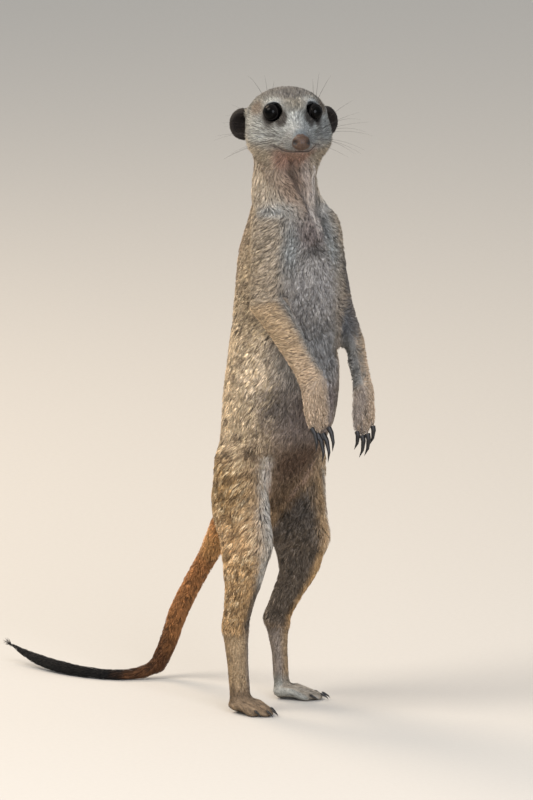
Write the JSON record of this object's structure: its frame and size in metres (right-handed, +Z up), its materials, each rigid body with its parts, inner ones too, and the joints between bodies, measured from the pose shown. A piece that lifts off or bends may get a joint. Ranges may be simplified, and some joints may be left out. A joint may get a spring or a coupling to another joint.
{
  "type": "standing meerkat model",
  "caption": "Life-size still model of a meerkat standing upright on its toes, head turned aside, arms hanging, tail resting on the floor behind as a prop.",
  "frame": {"origin": "on the floor, at the middle of the footprint of the bounding box", "axes": "+Z up, the animal faces -Y, its left side is +X"},
  "size_m": [0.0694, 0.2282, 0.3041],
  "materials": {
    "face_fur": "short dense matt grey-white fur",
    "throat_and_chest_fur": "thin matt grey-brown fur",
    "flank_and_belly_fur": "matt streaked buff fur with dark broken bands on the back",
    "limb_fur": "matt golden-buff fur",
    "paw_fur": "short matt pale buff fur",
    "tail_fur": "matt ochre-brown fur",
    "tail_tip_fur": "matt black fur",
    "ear_skin": "thin-haired black skin",
    "eye_surface": "wet, very glossy dark brown",
    "nose_skin": "pebbled brown skin with a slight shine",
    "claw_horn": "smooth black horn"
  },
  "bodies": {
    "root": {"abdomen": "flank_and_belly_fur", "chest": "throat_and_chest_fur", "claw_foot_left_1": "claw_horn", "claw_foot_left_2": "claw_horn", "claw_foot_left_3": "claw_horn", "claw_foot_left_4": "claw_horn", "claw_foot_right_1": "claw_horn", "claw_foot_right_2": "claw_horn", "claw_foot_right_3": "claw_horn", "claw_foot_right_4": "claw_horn", "claw_hand_left_1": "claw_horn", "claw_hand_left_2": "claw_horn", "claw_hand_left_3": "claw_horn", "claw_hand_left_4": "claw_horn", "claw_hand_right_1": "claw_horn", "claw_hand_right_2": "claw_horn", "claw_hand_right_3": "claw_horn", "claw_hand_right_4": "claw_horn", "ear_left": "ear_skin", "ear_right": "ear_skin", "eye_left": "eye_surface", "eye_right": "eye_surface", "foot_left": "paw_fur", "foot_right": "paw_fur", "forearm_left": "limb_fur", "forearm_right": "limb_fur", "hand_left": "paw_fur", "hand_right": "paw_fur", "head": "face_fur", "neck": "throat_and_chest_fur", "nose": "nose_skin", "shank_left": "limb_fur", "shank_right": "limb_fur", "tail_base": "tail_fur", "tail_middle": "tail_fur", "tail_tip": "tail_tip_fur", "thigh_left": "limb_fur", "thigh_right": "limb_fur", "upper_arm_left": "limb_fur", "upper_arm_right": "limb_fur"}
  },
  "joints": []
}
